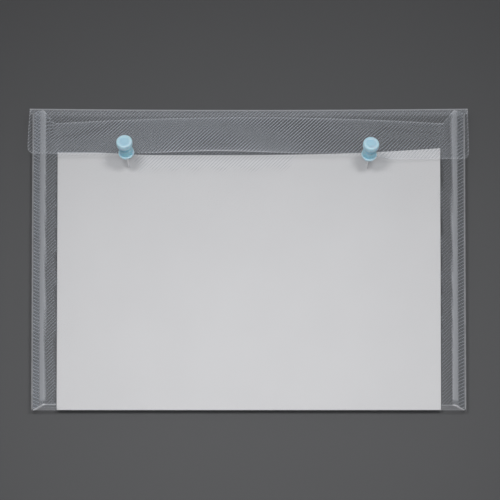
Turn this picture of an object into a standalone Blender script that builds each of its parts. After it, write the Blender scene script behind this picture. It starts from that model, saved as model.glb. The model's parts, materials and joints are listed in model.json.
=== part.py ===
"""Clear film portfolio case for one landscape sheet, pinned to a wall by two push pins.

Metres, +Z up. The wall is the plane y = 0, and the case stands out from it towards -Y.
The origin is the centre of the case's wall face.
"""

import math

import bmesh
import bpy
from mathutils import Vector

# Sheet that the case is made for
SHEET_WIDTH = 0.297
SHEET_HEIGHT = 0.210
SHEET_THICKNESS = 0.0004

# Film, and the clearance kept between neighbouring pieces
FILM = 0.0005
CLEARANCE = 0.0003

# Case round the sheet
SIDE_MARGIN = 0.0197
HEAD_ROOM = 0.0335
CASE_DEPTH = 0.0085
FRONT_BOW = 0.0016
SIDE_FOLD_RUN = 0.0092
BOTTOM_FOLD_RISE = 0.0028
WELD_WIDTH = 0.0016
WELD_HEIGHT = 0.0012

# Mouth of the pocket: how far its edge lies below the top fold
MOUTH_CENTRE_DROP = 0.0045
MOUTH_END_DROP = 0.0096
MOUTH_CORNER_RUN = 0.0085

# Flap and the spine that carries it
FLAP_DROP = 0.03475
FLAP_SLACK = 0.0011
FLAP_BOW = 0.003
FLAP_CORNER_RADIUS = 0.005
FLAP_OVERHANG = 0.0019
FLAP_FLARE = 0.0013

# Push pins: where they stand, and how they lean
PIN_SPACING = 0.188
PIN_EXPOSED = 0.0108
PIN_LIFT = math.radians(17.0)
PIN_SPLAY = math.radians(6.5)

# Push pin grip, from the flange up to the head
FLANGE_RADIUS = 0.0062
FLANGE_THICKNESS = 0.0022
WAIST_RADIUS = 0.0047
HEAD_RADIUS = 0.00625
HEAD_THICKNESS = 0.0032
GRIP_HEIGHT = 0.0168
GRIP_ROUNDING = 0.0009
SOCKET_DEPTH = 0.009

# Push pin needle
NEEDLE_RADIUS = 0.0005
NEEDLE_TIP = 0.004

# Fineness of the curved pieces
PANEL_COLUMNS = 36
PANEL_ROWS = 14
FLAP_COLUMNS = 40
FLAP_ROWS = 8
CORNER_COLUMNS = 5
STRIP_ROWS = 10
TURN_STEPS = 32
ROUNDING_STEPS = 4

# Places worked out from the sizes above
HALF_WIDTH = SHEET_WIDTH / 2 + SIDE_MARGIN
TOP = (SHEET_HEIGHT + HEAD_ROOM) / 2
BOTTOM = -TOP
PANEL_TOP = TOP - FILM - CLEARANCE
SHEET_BACK = FILM + CLEARANCE
FOLD_BACK = FILM + CLEARANCE
FOLD_FRONT = CASE_DEPTH - FILM - CLEARANCE
CREASE_HALF_WIDTH = HALF_WIDTH - SIDE_FOLD_RUN
MOUTH_HALF_WIDTH = CREASE_HALF_WIDTH - MOUTH_CORNER_RUN
FRONT_BOTTOM = BOTTOM + BOTTOM_FOLD_RISE
FLAP_DEPTH = CASE_DEPTH + FLAP_SLACK + FILM
FLAP_BOTTOM = TOP - FLAP_DROP
SPINE_BACK = CLEARANCE
SPINE_FRONT = FLAP_DEPTH - FILM - CLEARANCE
SPINE_HALF_WIDTH = HALF_WIDTH + FLAP_OVERHANG
NEEDLE_HOLE_RADIUS = NEEDLE_RADIUS + CLEARANCE

PARTS_NAME = "portfolio_case"
CUTTERS_NAME = "portfolio_case_cutters"

FILM_LOOK = {"colour": (0.78, 0.83, 0.88), "roughness": 0.28, "metallic": 0.0, "alpha": 0.35}
WELD_LOOK = {"colour": (0.84, 0.87, 0.90), "roughness": 0.35, "metallic": 0.0, "alpha": 0.6}
SHEET_LOOK = {"colour": (0.82, 0.82, 0.83), "roughness": 0.85, "metallic": 0.0, "alpha": 1.0}
GRIP_LOOK = {"colour": (0.34, 0.57, 0.72), "roughness": 0.32, "metallic": 0.0, "alpha": 1.0}
NEEDLE_LOOK = {"colour": (0.60, 0.60, 0.62), "roughness": 0.25, "metallic": 1.0, "alpha": 1.0}


def clear_scene():
    """Remove every object, and return the collections for the parts and for the cutters."""
    for obj in list(bpy.data.objects):
        bpy.data.objects.remove(obj, do_unlink=True)
    parts = bpy.data.collections.new(PARTS_NAME)
    cutters = bpy.data.collections.new(CUTTERS_NAME)
    bpy.context.scene.collection.children.link(parts)
    bpy.context.scene.collection.children.link(cutters)
    return parts, cutters


def add_material(obj, look):
    """Give the piece a material of its own."""
    material = bpy.data.materials.new(obj.name)
    material.use_nodes = True
    shader = material.node_tree.nodes["Principled BSDF"]
    shader.inputs["Base Color"].default_value = (*look["colour"], 1.0)
    shader.inputs["Roughness"].default_value = look["roughness"]
    shader.inputs["Metallic"].default_value = look["metallic"]
    shader.inputs["Alpha"].default_value = look["alpha"]
    obj.data.materials.append(material)


def add_piece(name, shape, collection, look=None):
    """Make an object from a bmesh, which is freed."""
    mesh = bpy.data.meshes.new(name)
    shape.to_mesh(mesh)
    shape.free()
    obj = bpy.data.objects.new(name, mesh)
    collection.objects.link(obj)
    if look:
        add_material(obj, look)
    return obj


def add_axis(name, location, collection, parent=None):
    """Make an empty on a joint's axis, for the moving pieces to hang on."""
    axis = bpy.data.objects.new(name, None)
    collection.objects.link(axis)
    hang_on(axis, parent, location)
    return axis


def hang_on(obj, parent, location):
    """Place an object at a world location, under an unturned empty."""
    obj.location = location
    while parent:
        if obj.parent is None:
            obj.parent = parent
        obj.location -= parent.location
        parent = parent.parent


def add_block(name, low, high, collection, look):
    """Box between two corners, each given as x, distance from the wall, and z."""
    shape = bmesh.new()
    bmesh.ops.create_cube(shape, size=1.0)
    size = [abs(high[i] - low[i]) for i in range(3)]
    bmesh.ops.scale(shape, vec=size, verts=shape.verts)
    obj = add_piece(name, shape, collection, look)
    middle = [(high[i] + low[i]) / 2 for i in range(3)]
    obj.location = (middle[0], -middle[1], middle[2])
    return obj


def add_film(name, columns, rows, place, collection, origin=(0.0, 0.0, 0.0)):
    """Sheet of film whose outer face is place(u, v): x, distance from the wall, and z.

    u and v run from 0 to 1. The film is thickened inwards, away from the outer face's normal.
    """
    shape = bmesh.new()
    bmesh.ops.create_grid(shape, x_segments=columns, y_segments=rows, size=0.5)
    for vertex in shape.verts:
        x, depth, z = place(vertex.co.x + 0.5, vertex.co.y + 0.5)
        vertex.co = Vector((x, -depth, z)) - Vector(origin)
    obj = add_piece(name, shape, collection, FILM_LOOK)
    thicken = obj.modifiers.new("film", "SOLIDIFY")
    thicken.thickness = FILM
    thicken.offset = -1.0
    thicken.use_even_offset = True
    obj.location = origin
    return obj


def add_turned(name, profile, collection, look):
    """Turned piece from (radius, height) points that run down its outer side."""
    shape = bmesh.new()
    points = [shape.verts.new((radius, 0.0, height)) for radius, height in profile]
    for first, second in zip(points, points[1:]):
        shape.edges.new((first, second))
    obj = add_piece(name, shape, collection, look)
    turn = obj.modifiers.new("turn", "SCREW")
    turn.steps = TURN_STEPS
    turn.render_steps = TURN_STEPS
    turn.use_merge_vertices = True
    turn.merge_threshold = 0.00001
    turn.use_smooth_shade = True
    return obj


def blend(start, end, share):
    """Value a share of the way from start to end."""
    return start + (end - start) * share


def rounded(radius, height, spread, start):
    """Quarter arc of the grip's rounding about (radius, height), from the angle start down."""
    points = []
    for step in range(ROUNDING_STEPS + 1):
        angle = start - math.pi / 2 * step / ROUNDING_STEPS
        points.append((radius + spread * math.cos(angle), height + spread * math.sin(angle)))
    return points


def front_bow(x, z):
    """How far the front panel stands out past its creases."""
    across = math.cos(math.pi / 2 * x / CREASE_HALF_WIDTH) ** 2
    up = math.sin(math.pi * (z - FRONT_BOTTOM) / (PANEL_TOP - FRONT_BOTTOM))
    return FRONT_BOW * across * max(up, 0.0)


def flap_bow(x, drop):
    """How far the flap stands out between the pins, at a distance below the top fold."""
    reach = PIN_SPACING / 2
    if abs(x) >= reach:
        return 0.0
    across = math.cos(math.pi / 2 * x / reach) ** 2
    return FLAP_BOW * across * math.sin(math.pi / 2 * min(drop / FLAP_DROP, 1.0))


def mouth_edge(x):
    """Height of the pocket's mouth edge: a low arch between two slanted corners."""
    if abs(x) > MOUTH_HALF_WIDTH:
        share = (abs(x) - MOUTH_HALF_WIDTH) / MOUTH_CORNER_RUN
        return blend(TOP - MOUTH_END_DROP, PANEL_TOP, share)
    arch = 1.0 - (x / MOUTH_HALF_WIDTH) ** 2
    return TOP - blend(MOUTH_END_DROP, MOUTH_CENTRE_DROP, arch)


def front_place(u, v):
    """Front panel: the slanted mouth corners take the first and last column."""
    corner = 1.0 / PANEL_COLUMNS
    if u < corner:
        x = blend(-CREASE_HALF_WIDTH, -MOUTH_HALF_WIDTH, u / corner)
    elif u > 1.0 - corner:
        x = blend(CREASE_HALF_WIDTH, MOUTH_HALF_WIDTH, (1.0 - u) / corner)
    else:
        x = blend(-MOUTH_HALF_WIDTH, MOUTH_HALF_WIDTH, (u - corner) / (1.0 - 2.0 * corner))
    z = blend(FRONT_BOTTOM, mouth_edge(x), v)
    return x, CASE_DEPTH + front_bow(x, z), z


def side_fold_place(side):
    """Side fold: slants from the weld up to the front crease, mitred at its foot."""
    outer = HALF_WIDTH - WELD_WIDTH - CLEARANCE
    inner = CREASE_HALF_WIDTH + CLEARANCE + FILM
    mitre = (BOTTOM + FILM + CLEARANCE, FRONT_BOTTOM + FILM + CLEARANCE)

    def place(u, v):
        rise = u if side < 0 else 1.0 - u
        x = side * blend(outer, inner, rise)
        depth = blend(FOLD_BACK + FILM, CASE_DEPTH, rise)
        return x, depth, blend(blend(*mitre, rise), PANEL_TOP, v)

    return place


def bottom_fold_place(u, v):
    """Bottom fold: from the back panel's foot out to the front panel's foot, mitred at its ends."""
    outer = HALF_WIDTH - WELD_WIDTH - CLEARANCE
    half = blend(outer, CREASE_HALF_WIDTH, v) - CLEARANCE
    return blend(-half, half, u), blend(FOLD_BACK, FOLD_FRONT, v), blend(BOTTOM, FRONT_BOTTOM, v)


def flap_place(u, v):
    """Flap: flares a little downwards, with two rounded lower corners."""
    corner = CORNER_COLUMNS / FLAP_COLUMNS
    low_half = SPINE_HALF_WIDTH + FLAP_FLARE
    straight = low_half - FLAP_CORNER_RADIUS
    lift = 0.0
    if corner <= u <= 1.0 - corner:
        x = blend(-straight, straight, (u - corner) / (1.0 - 2.0 * corner))
    else:
        angle = math.pi / 2 * min(u, 1.0 - u) / corner
        x = math.copysign(straight + FLAP_CORNER_RADIUS * math.cos(angle), u - 0.5)
        lift = FLAP_CORNER_RADIUS * (1.0 - math.sin(angle))
    z = blend(FLAP_BOTTOM + lift, TOP, v)
    drop = TOP - z
    x *= (SPINE_HALF_WIDTH + FLAP_FLARE * drop / FLAP_DROP) / low_half
    return x, FLAP_DEPTH + flap_bow(x, drop), z


def grip_profile():
    """Grip's outline from the head's crown down to the flange, and up into the needle's socket."""
    head_low = GRIP_HEIGHT - HEAD_THICKNESS
    waist = (head_low + FLANGE_THICKNESS) / 2
    socket = NEEDLE_HOLE_RADIUS
    rim = GRIP_ROUNDING
    profile = [(0.0, GRIP_HEIGHT)]
    profile += rounded(HEAD_RADIUS - rim, GRIP_HEIGHT - rim, rim, math.pi / 2)
    profile += rounded(HEAD_RADIUS - rim, head_low + rim, rim, 0.0)
    profile.append((WAIST_RADIUS, waist))
    profile += rounded(FLANGE_RADIUS - rim, FLANGE_THICKNESS - rim, rim, math.pi / 2)
    profile.append((FLANGE_RADIUS - rim / 2, 0.0))
    profile += [(socket, 0.0), (socket, SOCKET_DEPTH), (0.0, SOCKET_DEPTH)]
    return profile


def pin_direction(side):
    """Unit vector along a pin, out from the wall, lifted and splayed."""
    return Vector(
        (
            side * math.cos(PIN_LIFT) * math.sin(PIN_SPLAY),
            -math.cos(PIN_LIFT) * math.cos(PIN_SPLAY),
            math.sin(PIN_LIFT),
        )
    )


def flap_pass(depth):
    """Height of the flap's lower edge as it swings out past a distance from the wall."""
    return TOP - math.sqrt(FLAP_DROP**2 - (depth - FLAP_DEPTH) ** 2)


def pin_foot(side):
    """Point where a pin's axis meets the wall, and the distance along it to the flange.

    The flange's upper rim lies just below the path of the flap's lower edge, so that the flap swings past it.
    """
    direction = pin_direction(side)
    reach = CASE_DEPTH / -direction.y + PIN_EXPOSED
    rim_rise = (reach + FLANGE_THICKNESS) * direction.z + FLANGE_RADIUS * math.cos(PIN_LIFT)
    rim_depth = -(reach + FLANGE_THICKNESS) * direction.y - FLANGE_RADIUS * math.sin(PIN_LIFT)
    foot_x = side * PIN_SPACING / 2 - reach * direction.x
    return Vector((foot_x, 0.0, flap_pass(rim_depth) - CLEARANCE - rim_rise)), reach


def cut_holes(obj, cutters):
    """Pierce a piece where the needles pass through it."""
    for cutter in cutters:
        hole = obj.modifiers.new("needle_hole", "BOOLEAN")
        hole.operation = "DIFFERENCE"
        hole.solver = "EXACT"
        hole.object = cutter


def build_needle_cutters(collection):
    """One long round cutter along each pin's axis."""
    cutters = []
    for name, side in (("left_needle_cutter", -1), ("right_needle_cutter", 1)):
        foot, reach = pin_foot(side)
        shape = bmesh.new()
        bmesh.ops.create_cone(
            shape,
            cap_ends=True,
            segments=16,
            radius1=NEEDLE_HOLE_RADIUS,
            radius2=NEEDLE_HOLE_RADIUS,
            depth=2 * reach,
        )
        cutter = add_piece(name, shape, collection)
        cutter.location = foot
        cutter.rotation_euler = (math.pi / 2 - PIN_LIFT, 0.0, side * PIN_SPLAY)
        cutter.hide_render = True
        cutter.display_type = "WIRE"
        cutters.append(cutter)
    return cutters


def build_pocket(parts, cutters):
    """Back panel, front panel, folds and welds: what stays on the wall."""
    back_low = (-HALF_WIDTH, 0.0, BOTTOM)
    back_high = (HALF_WIDTH, FILM, PANEL_TOP)
    back = add_block("back_panel", back_low, back_high, parts, FILM_LOOK)
    cut_holes(back, cutters)
    front = add_film("front_panel", PANEL_COLUMNS, PANEL_ROWS, front_place, parts)
    cut_holes(front, cutters)
    add_film("left_side_fold", 1, STRIP_ROWS, side_fold_place(-1), parts)
    add_film("right_side_fold", 1, STRIP_ROWS, side_fold_place(1), parts)
    add_film("bottom_fold", STRIP_ROWS, 1, bottom_fold_place, parts)
    for name, side in (("left_weld", -1), ("right_weld", 1)):
        low = (side * (HALF_WIDTH - WELD_WIDTH), FOLD_BACK, BOTTOM)
        high = (side * HALF_WIDTH, FOLD_BACK + WELD_HEIGHT, PANEL_TOP)
        add_block(name, low, high, parts, WELD_LOOK)


def build_sheet(parts, cutters):
    """Blank sheet, standing in the bottom fold against the back panel."""
    front = SHEET_BACK + SHEET_THICKNESS
    slope = BOTTOM_FOLD_RISE / (FOLD_FRONT - FOLD_BACK)
    fold_inside = BOTTOM + slope * (front - FOLD_BACK) + FILM * math.hypot(1.0, slope)
    low = (-SHEET_WIDTH / 2, SHEET_BACK, fold_inside + CLEARANCE)
    high = (SHEET_WIDTH / 2, front, low[2] + SHEET_HEIGHT)
    sheet = add_block("insert_sheet", low, high, parts, SHEET_LOOK)
    cut_holes(sheet, cutters)


def build_flap(parts):
    """Spine, hung on the back crease, and flap, hung on the spine's front crease."""
    spine_crease = (0.0, -SPINE_BACK, TOP)
    flap_crease = (0.0, -FLAP_DEPTH, TOP)
    spine_axis = add_axis("spine_crease", spine_crease, parts)
    flap_axis = add_axis("flap_crease", flap_crease, parts, spine_axis)
    low = (-SPINE_HALF_WIDTH, SPINE_BACK, TOP - FILM)
    high = (SPINE_HALF_WIDTH, SPINE_FRONT, TOP)
    spine = add_block("top_spine", low, high, parts, FILM_LOOK)
    hang_on(spine, spine_axis, spine.location)
    flap = add_film("flap_panel", FLAP_COLUMNS, FLAP_ROWS, flap_place, parts, flap_crease)
    hang_on(flap, flap_axis, flap.location)


def build_pins(parts):
    """Two push pins, each a moulded grip on a steel needle that ends at the wall."""
    for name, side in (("left_pin", -1), ("right_pin", 1)):
        foot, reach = pin_foot(side)
        axis = add_axis(name + "_axis", foot, parts)
        axis.rotation_euler = (math.pi / 2 - PIN_LIFT, 0.0, side * PIN_SPLAY)
        grip = add_turned(name + "_grip", grip_profile(), parts, GRIP_LOOK)
        grip.parent = axis
        grip.location = (0.0, 0.0, reach)
        tip = CLEARANCE
        top = reach + SOCKET_DEPTH - CLEARANCE
        outline = [(0.0, top), (NEEDLE_RADIUS, top), (NEEDLE_RADIUS, tip + NEEDLE_TIP), (0.0, tip)]
        needle = add_turned(name + "_needle", outline, parts, NEEDLE_LOOK)
        needle.parent = axis


def build():
    """Build every piece of the case."""
    parts, cutter_collection = clear_scene()
    cutters = build_needle_cutters(cutter_collection)
    build_pocket(parts, cutters)
    build_sheet(parts, cutters)
    build_flap(parts)
    build_pins(parts)


build()
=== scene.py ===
import json
import math

import bmesh
import bpy
import numpy as np
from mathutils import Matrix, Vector


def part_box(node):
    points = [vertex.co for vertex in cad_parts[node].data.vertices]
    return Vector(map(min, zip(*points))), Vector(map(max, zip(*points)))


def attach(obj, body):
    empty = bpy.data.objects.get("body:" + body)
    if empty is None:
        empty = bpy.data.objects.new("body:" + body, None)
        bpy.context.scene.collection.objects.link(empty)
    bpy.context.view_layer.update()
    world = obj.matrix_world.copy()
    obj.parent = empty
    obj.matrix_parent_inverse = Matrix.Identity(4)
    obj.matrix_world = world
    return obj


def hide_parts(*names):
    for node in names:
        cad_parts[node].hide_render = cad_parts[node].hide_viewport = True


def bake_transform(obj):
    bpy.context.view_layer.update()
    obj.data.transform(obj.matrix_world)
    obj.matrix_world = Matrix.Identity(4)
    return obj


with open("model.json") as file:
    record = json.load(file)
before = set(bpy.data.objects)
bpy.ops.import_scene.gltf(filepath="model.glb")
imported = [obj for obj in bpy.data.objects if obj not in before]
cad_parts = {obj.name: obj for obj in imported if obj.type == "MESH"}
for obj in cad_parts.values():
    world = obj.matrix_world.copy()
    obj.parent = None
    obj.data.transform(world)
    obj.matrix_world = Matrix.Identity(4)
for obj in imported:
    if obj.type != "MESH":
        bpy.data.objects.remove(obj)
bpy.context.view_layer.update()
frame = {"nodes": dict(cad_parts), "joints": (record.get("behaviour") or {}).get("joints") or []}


# Back film: a sheet of clear soft plastic film, embossed with fine slanting ribs as it is cast.
# It hangs close to the wall. The front sheet is welded to it, and it runs on into the top fold.
back_low, back_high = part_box("back_panel")
spine_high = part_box("top_spine")[1]
half_width = back_high.x
case_foot = back_low.z
fold_radius = 0.0013
fold_top = spine_high.z
fold_foot = fold_top - fold_radius
film_wall = 0.0003
back_face = 0.00045
fold_sag = 0.0010
sag_reach = 0.03
top_fade = 0.0025
top_white = 0.5
edge_fade = 0.0005
rib_run = 0.00283
rib_height = 0.00005
rib_power = 9.0
rib_middle = -0.031
rib_right_fall = 0.8
corner_inset = 0.00004
sharp_angle = math.radians(45)
film_tint = (0.65, 0.705, 0.78, 1.0)
crease_tint = (0.87, 0.875, 0.905, 1.0)


def top_sag(x):
    """How far the top fold sags between its ends: a parabola across the case."""
    return fold_sag * (1.0 - np.clip(x / half_width, -1.0, 1.0) ** 2)


def rib_sheet(left, right, foot, head, lean, along):
    """Points of a rectangular sheet, on lines that follow its ribs.

    Along a line, x less lean times z keeps one value. The lines stand a quarter of a rib apart, and
    each runs from one edge of the sheet to another, with its points closest together near the edges.
    Returns x, z and the ribs' height from 0 to 1, which is a cosine of that kept value.
    """
    low, high = sorted((lean * left, lean * right))
    first = low - head + corner_inset
    last = high - foot - corner_inset
    quarter = rib_run / 4
    steps = np.arange(math.ceil(first / quarter) + 1, math.floor(last / quarter))
    offset = np.concatenate(([first], steps * quarter, [last]))[:, None]
    start = np.maximum(foot, low - offset)
    end = np.minimum(head, high - offset)
    share = (1.0 - np.cos(np.pi * np.linspace(0.0, 1.0, along))) / 2
    z = start + (end - start) * share
    x = lean * (offset + z)
    rib = np.broadcast_to(0.5 + 0.5 * np.cos(2 * np.pi * offset / rib_run), x.shape)
    return x, z, rib


def edge_white(distance):
    """How white a cut edge makes the film: 1 at the edge, dying away as an exponential."""
    return np.exp(-np.maximum(distance, 0.0) / edge_fade)


def grid_numbers(rows, columns):
    """The numbers of a grid's points, and its four-sided faces, one between each four neighbours."""
    number = np.arange(rows * columns).reshape(rows, columns)
    corners = (number[:-1, :-1], number[1:, :-1], number[1:, 1:], number[:-1, 1:])
    return number, np.stack(corners, axis=-1).reshape(-1, 4)


def add_mesh(name, points, faces, finish):
    """Mesh object at the origin, shaded smooth but for its sharp edges."""
    mesh = bpy.data.meshes.new(name)
    mesh.from_pydata(points.reshape(-1, 3).tolist(), [], faces.tolist())
    mesh.shade_smooth()
    mesh.set_sharp_from_angle(angle=sharp_angle)
    mesh.materials.append(finish)
    piece = bpy.data.objects.new(name, mesh)
    bpy.context.scene.collection.objects.link(piece)
    return piece


def set_marks(piece, marks):
    """Store values at a mesh's points, by name, for its finish to read."""
    for mark, values in marks.items():
        layer = piece.data.attributes.new(mark, "FLOAT", "POINT")
        layer.data.foreach_set("value", np.ravel(values).astype(np.float32))


def add_sheet(name, x, depth, z, finish, marks, turn_over=False, wall=film_wall):
    """Closed sheet: its outer face stands a depth off the wall, and its inner face lies a wall further in.

    The inner face is the outer one moved back along its normals, which are the cross products of the
    grid's two directions. A rim of faces joins the two all round. The marks are the outer face's
    alone, and 0 on the inner face.
    """
    outer = np.stack((x, -depth, z), axis=-1)
    normal = np.cross(np.gradient(outer, axis=0), np.gradient(outer, axis=1))
    normal = normal / np.linalg.norm(normal, axis=-1, keepdims=True)
    inner = outer + (wall if turn_over else -wall) * normal
    number, faces = grid_numbers(*x.shape)
    edge = np.concatenate((number[0, :-1], number[:-1, -1], number[-1, :0:-1], number[:0:-1, 0]))
    next_edge = np.roll(edge, -1)
    rim = np.stack((edge, next_edge, next_edge + x.size, edge + x.size), axis=-1)
    faces = np.concatenate((faces, faces[:, ::-1] + x.size, rim))
    if turn_over:
        faces = faces[:, ::-1]
    piece = add_mesh(name, np.concatenate((outer, inner)), faces, finish)
    set_marks(piece, {mark: np.stack((values, np.zeros_like(x))) for mark, values in marks.items()})
    return piece


def fit(piece, body, node):
    """Hang a piece on its body, in place of its CAD node, which is hidden."""
    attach(piece, body)
    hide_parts(node)


def feed(tree, node, inputs):
    """Link each of a node's inputs that is given another node's output, and set the others."""
    for key, value in inputs.items():
        if isinstance(value, bpy.types.NodeSocket):
            tree.links.new(value, node.inputs[key])
        else:
            node.inputs[key].default_value = value


def shader_node(tree, kind, inputs, **options):
    """Add a node, set its options, and feed its inputs."""
    made = tree.nodes.new("ShaderNode" + kind)
    for key, value in options.items():
        setattr(made, key, value)
    feed(tree, made, inputs)
    return made


def mark_value(tree, mark):
    """A mark that is stored at the mesh's points, as a node's output."""
    return shader_node(tree, "Attribute", {}, attribute_name=mark).outputs["Fac"]


def times_plus(tree, value, factor, extra):
    """The value times the factor, plus the extra, as a node's output."""
    return shader_node(tree, "Math", {0: value, 1: factor, 2: extra}, operation="MULTIPLY_ADD").outputs[0]


def greater(tree, first, second):
    """The greater of two values, as a node's output."""
    return shader_node(tree, "Math", {0: first, 1: second}, operation="MAXIMUM").outputs[0]


def mixed(tree, share, first, second):
    """The first colour where the share is 0, and the second where it is 1, as a node's output."""
    return shader_node(tree, "Mix", {0: share, 6: first, 7: second}, data_type="RGBA").outputs[2]


def start_finish(name):
    """New material: returns it, its node tree, its shader and the Object coordinates."""
    material = bpy.data.materials.new(name)
    material.use_nodes = True
    tree = material.node_tree
    place = shader_node(tree, "TexCoord", {}).outputs["Object"]
    return material, tree, tree.nodes["Principled BSDF"], place


def noise(tree, place, scale, detail):
    """Grey noise on the given coordinates, as a node's output."""
    inputs = {"Vector": place, "Scale": scale, "Detail": detail}
    return shader_node(tree, "TexNoise", inputs).outputs["Fac"]


def fine_bump(tree, height, strength, distance):
    """Small bumps of the surface, from a grey noise, as a node's output."""
    inputs = {"Height": height, "Strength": strength, "Distance": distance}
    return shader_node(tree, "Bump", inputs).outputs["Normal"]


def clear_film(name, haze, rib_haze, crease_haze):
    """Finish of clear film: a faint blue-grey haze, stronger along the ribs, white where creased or cut.

    How much it hides is a slow noise times haze, plus a high power of the rib mark times rib_haze, which
    draws each rib as a fine line, plus the crease mark times crease_haze. The crease mark also carries
    painted glints and highlights, and painted light that lifts shadows.
    """
    material, tree, shader, place = start_finish(name)
    crease = mark_value(tree, "crease")
    cloud = noise(tree, place, scale=38.0, detail=5.0)
    grain = noise(tree, place, scale=1400.0, detail=2.0)
    rib_mark = {0: mark_value(tree, "rib"), 1: rib_power}
    rib_line = shader_node(tree, "Math", rib_mark, operation="POWER").outputs[0]
    ribbed = times_plus(tree, rib_line, rib_haze, times_plus(tree, crease, crease_haze, 0.0))
    looks = {
        "Base Color": mixed(tree, crease, film_tint, crease_tint),
        "Roughness": times_plus(tree, cloud, factor=0.20, extra=0.26),
        "Alpha": times_plus(tree, cloud, haze, ribbed),
        "Normal": fine_bump(tree, grain, strength=0.2, distance=0.00005),
    }
    feed(tree, shader, looks)
    return material


# Painted light: the ribs are drawn brightest left of the middle and fainter outwards, where the lamps light
# the film's haze less.
def painted_rib_light(x, fall):
    """How strongly the ribs show across the case: most left of its middle, falling off as a parabola."""
    return 1.0 - fall * (x - rib_middle) ** 2


back_finish = clear_film("clear_back_film", haze=0.010, rib_haze=0.56, crease_haze=0.20)
x, z, rib = rib_sheet(-half_width, half_width, case_foot, fold_foot, lean=-1, along=40)
edge = np.minimum(half_width - np.abs(x), z - case_foot)
crease = edge_white(edge) + top_white * np.exp((z - fold_foot) / top_fade)
# Painted light: the back's ribs also fade right of the middle, where the lamps light them less.
painted_light_rib = rib * painted_rib_light(x, fall=2.1) * (1.0 - rib_right_fall * np.maximum(x, 0.0))
marks = {"rib": painted_light_rib, "crease": crease}
z = z - top_sag(x) * np.clip(1.0 - (fold_foot - z) / sag_reach, 0.0, 1.0) ** 2
depth = back_face + rib_height * rib
back_film = add_sheet("back_film", x, depth, z, back_finish, marks, turn_over=True)
fit(back_film, "case", "back_panel")


# Paper: one blank landscape sheet of plain white uncoated paper, standing in the bottom fold.
# Its top edge dips between the pins, which pierce it, and its top right corner curls forward.
paper_low, paper_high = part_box("insert_sheet")
paper_width = paper_high.x - paper_low.x
paper_height = paper_high.z - paper_low.z
paper_face = -paper_low.y
paper_wall = 0.00025
paper_shift = 0.0001
paper_sink = 0.0008
foot_back = 0.0004
top_dip = 0.0022
dip_start = 0.08
dip_run = 0.18
dip_fall = 0.45
curl_start = 0.68
corner_curl = 0.0062
corner_rise = 0.0014
paper_grey = (0.635, 0.635, 0.645, 1.0)
paper_white = (0.675, 0.675, 0.685, 1.0)


def smooth_step(share):
    """Smooth rise from 0 to 1: three times the share's square, less twice its cube."""
    share = np.clip(share, 0.0, 1.0)
    return share * share * (3.0 - 2.0 * share)


def paper_points(across, up):
    """Flat sheet whose top edge dips between the pins, and whose top right corner curls forward.

    The dip comes in smoothly over the left quarter and goes out over the right half, and it dies away
    downwards with the square of the height. The curl grows with the square of the way into the right
    third, times the height.
    """
    right = np.clip((across - curl_start) / (1.0 - curl_start), 0.0, 1.0) ** 2 * up
    dip = smooth_step((across - dip_start) / dip_run) * up**2
    dip = dip * (1.0 - smooth_step((across - dip_fall) / (1.0 - dip_fall)))
    x = paper_low.x + paper_shift + across * paper_width
    z = paper_low.z - paper_sink + up * paper_height - top_dip * dip + corner_rise * right
    return x, paper_face - foot_back * (1.0 - up) + corner_curl * right, z


def plain_paper(name):
    """Finish of uncoated paper: off-white, faintly clouded, with a fine tooth."""
    material, tree, shader, place = start_finish(name)
    cloud = noise(tree, place, scale=22.0, detail=4.0)
    tooth = noise(tree, place, scale=2600.0, detail=4.0)
    looks = {
        "Base Color": mixed(tree, cloud, paper_grey, paper_white),
        "Roughness": times_plus(tree, tooth, factor=0.12, extra=0.80),
        "Normal": fine_bump(tree, tooth, strength=0.25, distance=0.00006),
        "Specular IOR Level": 0.25,
    }
    feed(tree, shader, looks)
    return material


across, up = np.meshgrid(np.linspace(0.0, 1.0, 90), np.linspace(0.0, 1.0, 64), indexing="ij")
x, depth, z = paper_points(across, up)
paper = add_sheet("paper", x, depth, z, plain_paper("plain_paper"), {}, wall=paper_wall)
fit(paper, "case", "insert_sheet")


# Side films and bottom film: the slanting sides of the front sheet, which give the pocket its depth.
# They are folded from the same ribbed film as the front, and mitred into each other at the corners.
side_low, side_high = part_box("right_side_fold")
foot_low, foot_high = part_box("bottom_fold")
front_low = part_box("front_panel")[0]
weld_low, weld_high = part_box("right_weld")
face_depth = -side_low.y
face_bow = -front_low.y - face_depth
side_rise = (face_depth + side_high.y) / (side_high.x - side_low.x)
foot_height = 0.0013
foot_rise = (-foot_low.y + foot_high.y) / foot_height
crease_roll = 0.0030
mitre_roll = 0.0022
mitre_reach = 0.6
side_inner = side_low.x + crease_roll / side_rise
side_outer = weld_low.x
foot_inner = foot_low.z + foot_height - crease_roll / foot_rise
crease_out = 0.0003
free_height = 0.0720
paper_top = 0.0845
free_left = -0.090
free_right = 0.036
free_fade = 0.0020
free_side_fade = 0.0060
side_fade = 0.0006
rib_rested = 0.35
crease_white = 0.50
crease_spread = 1.8
# Along the foot the crease is whiter: partly real crease white, and partly a painted glint on the roll.
foot_crease_and_glint = 0.45
foot_reach = 0.0015
foot_fade = 0.001
dim_white = 0.28
dim_height = 0.003
dim_fade = 0.0018
# Painted light: a faint white beside the paper's upright edges, which lifts the shadow that the paper casts
# on the wall there.
painted_fill_white = 0.12
painted_fill_fade = 0.0013
# Painted glint: the mitred corners are drawn white, as where they catch the lamps.
painted_mitre_glint = 3.0
most_white = 2.6


def roll_together(first, second, roll):
    """The lesser of two heights, rounded off where they cross, and how near the crossing is, 0 to 1.

    The share of the first falls from 1 to 0 as it passes the second, over a band of the roll's width.
    """
    share = np.clip(0.5 + 0.5 * (second - first) / roll, 0.0, 1.0)
    both = share * (1.0 - share)
    return second + (first - second) * share - roll * both, 4.0 * both


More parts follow.
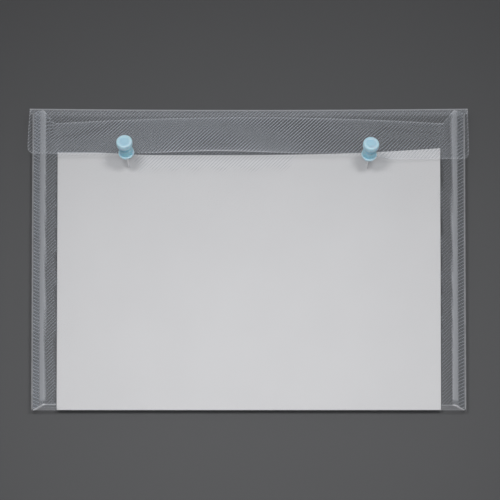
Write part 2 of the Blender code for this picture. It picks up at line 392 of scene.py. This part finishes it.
def pocket_face(x, z):
    """Height of the front sheet's outer face above the wall, with its crease and mitre marks.

    It is the least of three planes, rolled together: the slanting sides, the slanting foot, and the
    front, which bows out by a squared cosine across and a sine upwards.
    """
    bow = np.cos(np.pi / 2 * np.clip(x / side_low.x, -1.0, 1.0)) ** 2
    bow = bow * np.sin(np.pi * np.clip((z - foot_inner) / (fold_top - foot_inner), 0.0, 1.0))
    front = face_depth + face_bow * bow
    side = -side_high.y + side_rise * (side_high.x + crease_out - np.abs(x))
    foot = -foot_high.y + foot_rise * (z - foot_low.z)
    edge, mitre = roll_together(side, foot, mitre_roll)
    face, crease = roll_together(edge, front, crease_roll)
    mitre = mitre * np.clip((front - edge) / crease_roll + mitre_reach, 0.0, 1.0)
    return face, crease, mitre


def on_paper(x, z):
    """Share of the film that rests on the sheet, from 0 to 1.

    It is 1 inside the sheet's sides and below its top, apart from a part below the top and between
    the pins where the film stands free. Both borders are short straight ramps.
    """
    free = np.clip(np.minimum(x - free_left, free_right - x) / free_side_fade, 0.0, 1.0)
    top = paper_top + (free_height - paper_top) * free
    inside = np.clip((paper_high.x - np.abs(x)) / side_fade + 1.0, 0.0, 1.0)
    return inside * np.clip((top - z) / free_fade, 0.0, 1.0)


def pocket_film(name, x, z, rib, finish, edge=0.0):
    """One part of the front sheet, on the pocket's face.

    Its ribs are pressed flat in the creases, and show less where it rests on the paper. Its creases are
    white outside the paper: whitest along the foot, where part of the white is a painted glint, and
    dimmest in a band just above it, which is a bell curve of the height. The mitres carry a painted
    glint. A faint painted light dies away on both sides of the paper's upright edges, and lifts the
    shadow that the paper casts there.
    """
    face, crease, mitre = pocket_face(x, z)
    rest = on_paper(x, z)
    rib = rib * (1.0 - crease**2) * (1.0 - mitre)
    low = np.clip((foot_inner + foot_reach - z) / foot_fade, 0.0, 1.0)
    dim = np.exp(-(((z - foot_inner - dim_height) / dim_fade) ** 2))
    painted_fill = np.exp(-np.abs(np.abs(x - paper_shift) - paper_width / 2) / painted_fill_fade)
    white = (crease_white + foot_crease_and_glint * low - dim_white * dim) * np.minimum(1.0, crease_spread * crease)
    white = (white + painted_fill_white * painted_fill) * (1.0 - rest) + painted_mitre_glint * mitre + edge
    rib = rib * (1.0 - rib_rested * rest)
    marks = {"rib": rib * painted_rib_light(x, fall=1.0), "crease": np.clip(white, 0.0, most_white)}
    return add_sheet(name, x, face + rib_height * rib, z, finish, marks)


# The left side film is hazier than the right: partly real haze, and partly painted light, as the left lamp
# lights it more.
side_haze_and_painted_light = {"left": 0.17, "right": 0.04}
side_top_white = 0.3
weld_white = 0.20
weld_fade = 0.0015
for side, way in (("left", -1), ("right", 1)):
    finish = clear_film("clear_" + side + "_film", side_haze_and_painted_light[side], rib_haze=0.95, crease_haze=0.74)
    left, right = sorted((way * side_inner, way * side_outer))
    x, z, rib = rib_sheet(left, right, case_foot, back_high.z, lean=way, along=12)
    inward = (side_outer - np.abs(x)) / (side_outer - side_inner)
    mitre_line = case_foot + (foot_inner - case_foot) * inward
    z = mitre_line + (z - case_foot) * (back_high.z - mitre_line) / (back_high.z - case_foot)
    edge = side_top_white * edge_white(back_high.z - z)
    edge = edge + weld_white * np.exp((np.abs(x) - side_outer) / weld_fade)
    side_film = pocket_film(side + "_side_film", x, z, rib, finish, edge)
    fit(side_film, "case", side + "_side_fold")

bottom_white = 0.9
x, z, rib = rib_sheet(-side_outer, side_outer, case_foot, foot_inner, lean=1, along=10)
upward = (z - case_foot) / (foot_inner - case_foot)
x = x * (1.0 + (side_inner / side_outer - 1.0) * upward)
foot_finish = clear_film("clear_bottom_film", haze=0.010, rib_haze=0.10, crease_haze=0.73)
edge = bottom_white * (1.0 - on_paper(x, z))
bottom_film = pocket_film("bottom_film", x, z, rib, foot_finish, edge)
fit(bottom_film, "case", "bottom_fold")


# Edge welds: a narrow bead down each side, where the front and back film are melted together.
# The heated bar leaves it milky, with a fine cross knurl.
weld_width = weld_high.x - weld_low.x
weld_depth = weld_high.y - weld_low.y
knurl_pitch = 0.0012
knurl_height = 0.00005
merge_distance = 0.000002
weld_grey = (0.28, 0.285, 0.30, 1.0)


def weld_points(way):
    """Half-round section carried up the edge, closed to a point at both ends.

    The section is an ellipse, drawn in by the knurl, which is a cosine of the height.
    """
    height = np.linspace(weld_low.z, weld_high.z, 800)
    angle = np.linspace(0.0, 2.0 * np.pi, 17)
    draw = np.ones_like(height)
    draw[[0, -1]] = 0.0
    draw = draw[:, None]
    knurl = knurl_height * (0.5 + 0.5 * np.cos(2.0 * np.pi * height / knurl_pitch))[:, None]
    x = (weld_low.x + weld_high.x) / 2 + draw * (weld_width / 2 - knurl) * np.cos(angle)
    y = (weld_low.y + weld_high.y) / 2 + draw * (weld_depth / 2 - knurl) * np.sin(angle)
    z = np.broadcast_to(height[:, None], x.shape)
    return np.stack((way * x, y, z), axis=-1)


def add_closed(name, points, finish, marks):
    """Closed surface from a grid of points: those that meet at seams and poles are merged into one."""
    piece = add_mesh(name, points, grid_numbers(*points.shape[:2])[1], finish)
    set_marks(piece, marks)
    shape = bmesh.new()
    shape.from_mesh(piece.data)
    bmesh.ops.remove_doubles(shape, verts=shape.verts, dist=merge_distance)
    bmesh.ops.recalc_face_normals(shape, faces=shape.faces)
    shape.to_mesh(piece.data)
    shape.free()
    piece.data.set_sharp_from_angle(angle=sharp_angle)
    return piece


def milky_weld(name):
    """Finish of melted film: milky, unevenly clouded along the bead."""
    material, tree, shader, place = start_finish(name)
    cloud = noise(tree, place, scale=160.0, detail=4.0)
    looks = {
        "Base Color": weld_grey,
        "Roughness": times_plus(tree, cloud, factor=0.30, extra=0.25),
        "Alpha": times_plus(tree, cloud, factor=0.50, extra=0.45),
    }
    feed(tree, shader, looks)
    return material


weld_finish = milky_weld("milky_weld")
for side, way in (("left", -1), ("right", 1)):
    bead = add_closed(side + "_weld_bead", weld_points(way), weld_finish, {})
    fit(bead, "case", side + "_weld")


# Front film: the face of the front sheet, ribbed like the back, and rolled over at its three creases.
# Its top edge is the pocket's mouth, cut as a low arch between two slanted corners.
mouth_centre = fold_top - 0.0070
mouth_end = fold_top - 0.0121
mouth_corner = 0.0085
mouth_white = 0.55
cut_reach = 0.02


def mouth_edge(x):
    """Height of the mouth: a parabola from end to end, then straight up to the top at both corners."""
    corner_start = side_low.x - mouth_corner
    arch = mouth_end + (mouth_centre - mouth_end) * (1.0 - (x / corner_start) ** 2)
    rise = np.clip((np.abs(x) - corner_start) / mouth_corner, 0.0, 1.0)
    return np.where(np.abs(x) > corner_start, mouth_end + (back_high.z - mouth_end) * rise, arch)


front_finish = clear_film("clear_front_film", haze=0.006, rib_haze=0.80, crease_haze=0.70)
x, z, rib = rib_sheet(-side_inner, side_inner, foot_inner, mouth_centre, lean=1, along=48)
z = z + (mouth_edge(x) - mouth_centre) * np.clip(1.0 - (mouth_centre - z) / cut_reach, 0.0, 1.0)
edge = mouth_white * edge_white(mouth_edge(x) - z)
front_film = pocket_film("front_film", x, z, rib, front_finish, edge)
fit(front_film, "case", "front_panel")


# Top fold: the back film turns forward over the top in a narrow spine, then down into the flap.
# Both turns are rolled creases, where the film is pressed smooth and white. They are the flap's hinges.
flap_low, flap_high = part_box("flap_panel")
spine_half = spine_high.x
fold_back = back_face - film_wall
flap_face = 0.0101
back_crease_white = 0.3
front_crease_white = 0.7
fold_end_white = 0.3
spine_white = 0.12
spine_crease_white = 0.1
spine_crease_fade = 0.0012


def fold_points(around, back, turn_start):
    """Quarter-round roll along the top: a circle of fold_radius, carried from end to end."""
    x = np.linspace(-spine_half, spine_half, 160)[:, None]
    angle = np.linspace(turn_start, turn_start - np.pi / 2, around)[None, :]
    depth = back + fold_radius * np.cos(angle) + 0.0 * x
    z = fold_foot + fold_radius * np.sin(angle) - top_sag(x)
    return x + 0.0 * angle, depth, z


fold_finish = clear_film("creased_film", haze=0.040, rib_haze=0.0, crease_haze=0.40)
x, depth, z = fold_points(around=9, back=fold_back + fold_radius, turn_start=np.pi)
ends = fold_end_white * edge_white(spine_half - np.abs(x))
marks = {"rib": 0.0 * x, "crease": back_crease_white + ends}
back_crease = add_sheet("back_crease", x, depth, z, fold_finish, marks, turn_over=True)
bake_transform(back_crease)

x, depth, z = fold_points(around=9, back=flap_face - fold_radius, turn_start=np.pi / 2)
marks = {"rib": 0.0 * x, "crease": front_crease_white + ends}
front_crease = add_sheet("front_crease", x, depth, z, fold_finish, marks, turn_over=True)
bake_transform(front_crease)

spine_start = fold_back + fold_radius
spine_end = flap_face - fold_radius
x, depth, rib = rib_sheet(-spine_half, spine_half, spine_start, spine_end, lean=1, along=12)
from_crease = np.minimum(depth - spine_start, spine_end - depth)
crease = spine_white + fold_end_white * edge_white(spine_half - np.abs(x))
crease = crease + spine_crease_white * np.exp(-from_crease / spine_crease_fade)
marks = {"rib": rib, "crease": crease}
z = fold_top - top_sag(x) - rib_height * (1.0 - rib)
spine_film = add_sheet("spine_film", x, depth, z, front_finish, marks, turn_over=True)
fit(spine_film, "spine", "top_spine")


# Flap: the free end of the same sheet, which hangs down over the mouth and is cut with rounded corners.
# It springs out between the two pins, and lies a little lower at its right end.
flap_foot = flap_low.z - 0.0024
flap_flare = flap_high.x / spine_half - 1.0
flap_corner = 0.005
flap_spring = 0.0062
spring_middle = -0.024
spring_half = 0.080
flap_shift = 0.0004
painted_shine_white = 0.16
painted_shine_at_ends = 0.4
painted_shine_fade = 0.004
end_edge_white = 0.4
bowed_edge_highlight = 0.5
flap_top_white = 0.25
right_drop = 0.0045
drop_start = 0.096
drop_run = 0.012


def flap_points(x, z):
    """Rectangle with its lower corners drawn in to quarter circles, flared downwards and bowed out.

    In a corner square, a point at (u, v) from the square's inner corner moves along its own ray, to
    the greater of u and v times the corner radius. The bow is a squared cosine between the pins.
    """
    down = (fold_foot - z) / (fold_foot - flap_foot)
    u = np.clip((np.abs(x) - spine_half + flap_corner) / flap_corner, 0.0, 1.0)
    v = np.clip((flap_foot + flap_corner - z) / flap_corner, 0.0, 1.0)
    draw = np.where((u > 0.0) & (v > 0.0), np.maximum(u, v) / np.maximum(np.hypot(u, v), 1e-9) - 1.0, 0.0)
    x = x + np.sign(x) * u * draw * flap_corner
    z = z - v * draw * flap_corner
    swing = np.sin(np.pi / 2 * down)
    x = x * (1.0 + flap_flare * swing) - flap_shift * swing
    z = z - right_drop * down * smooth_step((x - drop_start) / drop_run) - top_sag(x) * (1.0 - down)
    bow = np.cos(np.pi / 2 * np.clip((x - spring_middle) / spring_half, -1.0, 1.0)) ** 2
    return x, flap_face + flap_spring * bow * swing, z, bow


flap_finish = clear_film("clear_flap_film", haze=0.010, rib_haze=0.85, crease_haze=0.52)
flat_x, flat_z, rib = rib_sheet(-spine_half, spine_half, flap_foot, fold_foot, lean=1, along=24)
x, depth, z, bow = flap_points(flat_x, flat_z)
edge = edge_white(np.minimum(spine_half - np.abs(flat_x), flat_z - flap_foot))
# Painted highlights: the flap's lower edge is drawn whiter where it springs out, and a painted shine rises
# from its foot, strongest between the pins.
crease = (end_edge_white + bowed_edge_highlight * bow) * edge
painted_shine = painted_shine_white * (painted_shine_at_ends + (1.0 - painted_shine_at_ends) * bow)
crease = crease + painted_shine * np.exp((flap_foot - flat_z) / painted_shine_fade)
crease = crease + flap_top_white * np.exp((flat_z - fold_foot) / top_fade)
marks = {"rib": rib * painted_rib_light(x, fall=1.5), "crease": crease}
flap_film = add_sheet("flap_film", x, depth + rib_height * rib, z, flap_finish, marks)
fit(flap_film, "flap", "flap_panel")


# Push pins: a moulded grip of light blue plastic with a round head, a waist, a collar and a flange.
# Each is pushed through the front just under the flap, and on through the paper and the back film.
grip_height = 0.0168
head_radius = 0.00625
head_thickness = 0.0046
head_round = 0.0013
head_dish = 0.0004
dish_edge = 0.62
dish_slope = 0.30
waist_radius = 0.0043
collar_radius = 0.0053
collar_top = 0.0085
collar_slope = 0.0022
flange_radius = 0.0062
flange_thickness = 0.0022
flange_round = 0.0009
under_round = 0.0003
# Painted light: how pale the grip is drawn, from the waist's deep blue to the painted highlights on its
# rims.
face_light_level = 0.5
dish_rim_highlight = 0.3
collar_slope_highlight = 2.0
deep_blue = (0.36, 0.74, 0.90, 1.0)
middle_blue = (0.44, 0.68, 0.80, 1.0)
highlight_blue = (0.56, 0.79, 0.92, 1.0)


def quarter_round(radius, height, start, rounding):
    """Quarter circle about a point, from the angle start downwards."""
    angle = np.linspace(start, start - np.pi / 2, 8)
    return radius + rounding * np.cos(angle), height + rounding * np.sin(angle)


def grip_outline():
    """Radius, height and paleness along the grip's outline, from the middle of the head to the flange's.

    The head is dished inside its rim, by a smooth step near three quarters of the way out. The waist
    widens to the head by the eighth power of the way up, and to the collar over the flange by a smooth
    step downwards. The paleness is painted light: the rims, the dish's rim and a ring on the collar's
    slope are painted highlights, and the waist and the collar's side are deepest in colour.
    """
    head_foot = grip_height - head_thickness
    crown = np.linspace(0.0, head_radius - head_round, 18)
    rise = smooth_step((crown / crown[-1] - dish_edge) / dish_slope)
    crown_height = grip_height - head_dish * (1.0 - rise)
    waist_height = np.linspace(head_foot, flange_thickness, 40)
    way_up = np.linspace(1.0, 0.0, 40)
    collar = smooth_step((collar_top - waist_height) / collar_slope)
    waist_width = waist_radius + (head_radius - under_round - waist_radius) * way_up**8
    waist_width = waist_width + (collar_radius - waist_radius) * collar
    under = np.array([flange_radius - flange_round / 2, flange_radius / 2, 0.0])
    rim_middle = crown_height[-1] - head_round
    head_rim = quarter_round(head_radius - head_round, rim_middle, np.pi / 2, head_round)
    head_under = quarter_round(head_radius - under_round, head_foot + under_round, 0.0, under_round)
    flange_middle = flange_thickness - flange_round
    flange_rim = quarter_round(flange_radius - flange_round, flange_middle, np.pi / 2, flange_round)
    parts = (
        (crown, crown_height, face_light_level + dish_rim_highlight * rise),
        (*head_rim, 1.0),
        (*head_under, 1.0),
        (waist_width, waist_height, collar_slope_highlight * collar * (1.0 - collar)),
        (*flange_rim, 1.0),
        (under, 0.0 * under, face_light_level),
    )
    radius = np.concatenate([part[0] for part in parts])
    height = np.concatenate([part[1] for part in parts])
    pale = np.concatenate([part[2] + 0.0 * part[0] for part in parts])
    return radius, height, pale


def turned_points(foot, axis, radius, height, turns):
    """Outline carried round an axis: foot, plus height along the axis, plus radius along a turning arm."""
    arm = np.cross(axis, (1.0, 0.0, 0.0))
    arm = arm / np.linalg.norm(arm)
    angle = np.linspace(0.0, 2.0 * np.pi, turns + 1)[:, None]
    turning = np.cos(angle) * arm + np.sin(angle) * np.cross(axis, arm)
    return foot + height[None, :, None] * axis + radius[None, :, None] * turning[:, None, :]


def node_points(node):
    """Points of a CAD node's mesh, as an array."""
    mesh = frame["nodes"][node].data
    places = np.zeros(len(mesh.vertices) * 3, np.float32)
    mesh.vertices.foreach_get("co", places)
    return places.reshape(-1, 3).astype(float)


def moulded_plastic(name):
    """Finish of moulded plastic: light blue, faintly clouded, with a satin skin."""
    material, tree, shader, place = start_finish(name)
    cloud = noise(tree, place, scale=260.0, detail=3.0)
    skin = noise(tree, place, scale=3200.0, detail=2.0)
    # Painted light: the ramp runs from the waist's deep blue, made bright to lift the shade under the head,
    # to painted highlights on the rims.
    pale = times_plus(tree, cloud, factor=0.1, extra=mark_value(tree, "pale"))
    shade = shader_node(tree, "ValToRGB", {0: pale})
    ramp = shade.color_ramp.elements
    ramp[0].color = deep_blue
    ramp[1].color = highlight_blue
    ramp.new(0.5).color = middle_blue
    looks = {
        "Base Color": shade.outputs["Color"],
        "Roughness": times_plus(tree, cloud, factor=0.2, extra=0.26),
        "Normal": fine_bump(tree, skin, strength=0.12, distance=0.00004),
        "Subsurface Weight": 0.6,
        "Subsurface Radius": (0.5, 0.9, 1.0),
        "Subsurface Scale": 0.004,
    }
    feed(tree, shader, looks)
    return material


grip_finish = moulded_plastic("light_blue_plastic")
pull = {joint["name"]: np.array(joint["axis"]) for joint in frame["joints"]}
pin_shift = {"left": (-0.0008, 0.0, 0.0003), "right": (-0.0008, 0.0, -0.0013)}
pin_axis = {}
pin_foot = {}
for side in ("left", "right"):
    axis = pull[side + "_pin_pull"] / np.linalg.norm(pull[side + "_pin_pull"])
    places = node_points(side + "_pin_grip")
    along = places @ axis
    needle = node_points(side + "_pin_needle")
    tip = needle[np.argmin(needle @ axis)]
    pin_axis[side] = axis
    pin_foot[side] = tip + (along.min() - tip @ axis) * axis + pin_shift[side]
    radius, height, pale = grip_outline()
    points = turned_points(pin_foot[side], axis, radius, height, turns=72)
    marks = {"pale": np.broadcast_to(pale, points.shape[:2])}
    grip = add_closed(side + "_grip", points, grip_finish, marks)
    fit(grip, side + "_pin", side + "_pin_grip")


# Pin needles: drawn steel wire, ground to a long point and moulded into the grip.
# They run back through front film, paper and back film, and end just behind it.
needle_radius = 0.0005
needle_point = 0.004
bright_steel = (0.90, 0.90, 0.91, 1.0)


def ground_steel(name):
    """Finish of ground wire: bright steel, its polish broken by fine grinding marks."""
    material, tree, shader, place = start_finish(name)
    scratches = noise(tree, place, scale=4200.0, detail=3.0)
    looks = {
        "Base Color": bright_steel,
        "Metallic": 1.0,
        "Roughness": times_plus(tree, scratches, factor=0.25, extra=0.25),
    }
    feed(tree, shader, looks)
    return material


needle_finish = ground_steel("ground_steel")
for side in ("left", "right"):
    places = node_points(side + "_pin_needle") @ pin_axis[side]
    reach = places - pin_foot[side] @ pin_axis[side]
    taper = np.linspace(0.0, 1.0, 14)
    radius = np.concatenate((needle_radius * np.sin(np.pi / 2 * taper), (needle_radius, 0.0)))
    height = np.concatenate((reach.min() + needle_point * taper, (reach.max(), reach.max())))
    points = turned_points(pin_foot[side], pin_axis[side], radius, height, turns=20)
    needle = add_closed(side + "_needle", points, needle_finish, {})
    fit(needle, side + "_pin", side + "_pin_needle")


# Wall and floor: a plain dark grey painted wall, a little behind the case, over a pale floor.
# The wall is open from behind, and lets the room's light on to the back of the case, so that the back
# can be looked at too.
wall_gap = 0.005
wall_half = 1.2
wall_dark = (0.101, 0.102, 0.105, 1.0)
wall_light = (0.109, 0.110, 0.113, 1.0)
floor_half = 14.0
floor_height = -4.4
floor_dark = (0.74, 0.74, 0.74, 1.0)
floor_light = (0.80, 0.80, 0.80, 1.0)


def add_stage(name, points, finish):
    """Plain stage surface from a grid of points."""
    add_mesh(name, points, grid_numbers(*points.shape[:2])[1], finish)


def painted_wall(name):
    """Finish of matt dark paint, faintly rolled. It is open from behind, and to diffuse and shadow rays."""
    material, tree, shader, place = start_finish(name)
    cloud = noise(tree, place, scale=3.0, detail=3.0)
    paint = mixed(tree, cloud, wall_dark, wall_light)
    feed(tree, shader, {"Base Color": paint, "Roughness": 0.9, "Specular IOR Level": 0.1})
    opened = shader_node(tree, "NewGeometry", {}).outputs["Backfacing"]
    light_path = shader_node(tree, "LightPath", {}).outputs
    for kind in ("Is Diffuse Ray", "Is Shadow Ray"):
        opened = greater(tree, opened, light_path[kind])
    clear = shader_node(tree, "BsdfTransparent", {}).outputs[0]
    either = shader_node(tree, "MixShader", {0: opened, 1: shader.outputs[0], 2: clear})
    tree.links.new(either.outputs[0], tree.nodes["Material Output"].inputs["Surface"])
    return material


def pale_floor(name):
    """Finish of a pale plain floor, faintly clouded."""
    material, tree, shader, place = start_finish(name)
    cloud = noise(tree, place, scale=1.5, detail=3.0)
    feed(tree, shader, {"Base Color": mixed(tree, cloud, floor_dark, floor_light), "Roughness": 0.8})
    return material


steps = np.linspace(-1.0, 1.0, 9)
x, z = np.meshgrid(wall_half * steps, wall_half * steps, indexing="ij")
add_stage("wall", np.stack((x, wall_gap + 0.0 * x, z), axis=-1), painted_wall("dark_wall_paint"))
x, y = np.meshgrid(floor_half * steps, floor_half * steps, indexing="ij")
add_stage("floor", np.stack((x, y, floor_height + 0.0 * x), axis=-1), pale_floor("pale_floor"))


# Studio: two soft lamps in front, left and right and a little above the case, and a low fill.
# The room round them gives an even grey light, and looks pale where it is seen or reflected.
room_light = (0.19, 0.19, 0.197, 1.0)
room_pale = (0.80, 0.80, 0.80, 1.0)


def soft_lamp(name, place, aim, size, power, spread):
    """Square lamp turned towards a place on the case, its beam held in to an angle in degrees."""
    light = bpy.data.lights.new(name, "AREA")
    light.size = size
    light.energy = power
    light.spread = math.radians(spread)
    lamp = bpy.data.objects.new(name, light)
    lamp.location = place
    lamp.rotation_euler = (Vector(aim) - lamp.location).to_track_quat("-Z", "Y").to_euler()
    lamp.visible_camera = False
    bpy.context.scene.collection.objects.link(lamp)


soft_lamp("left_lamp", (-0.64, -2.2, 0.27), (-0.08, 0.0, -0.12), size=0.6, power=0.58, spread=28.0)
soft_lamp("right_lamp", (0.64, -2.2, 0.27), (0.08, 0.0, -0.12), size=0.6, power=0.58, spread=28.0)
soft_lamp("low_fill", (0.0, -1.9, -0.45), (0.0, 0.0, -0.12), size=0.5, power=0.36, spread=40.0)

room = bpy.data.worlds.new("studio_room")
room.use_nodes = True
room_tree = room.node_tree
light_path = shader_node(room_tree, "LightPath", {}).outputs
room_seen = light_path["Is Camera Ray"]
for kind in ("Is Glossy Ray", "Is Transmission Ray"):
    room_seen = greater(room_tree, room_seen, light_path[kind])
room_colour = mixed(room_tree, room_seen, room_light, room_pale)
feed(room_tree, room_tree.nodes["Background"], {"Color": room_colour})
bpy.context.scene.world = room


# Camera: straight in front of the case and far off, looking up at it from below.
# Its long lens keeps the sides of the case nearly upright in the picture.
camera_rise = math.radians(18.5)
camera_distance = 12.0
camera_span = 0.3876
camera_aim = (0.0010, 0.0, 0.0090)
sensor_width = 36.0

camera_data = bpy.data.cameras.new("camera")
camera_data.sensor_width = sensor_width
camera_data.lens = sensor_width * camera_distance / camera_span
camera = bpy.data.objects.new("camera", camera_data)
camera.location = (
    camera_aim[0],
    camera_aim[1] - camera_distance * math.cos(camera_rise),
    camera_aim[2] - camera_distance * math.sin(camera_rise),
)
camera.rotation_euler = (math.pi / 2 + camera_rise, 0.0, 0.0)
bpy.context.scene.collection.objects.link(camera)
bpy.context.scene.camera = camera
bpy.context.scene.view_settings.view_transform = "Standard"
bpy.context.scene.cycles.transparent_max_bounces = 32
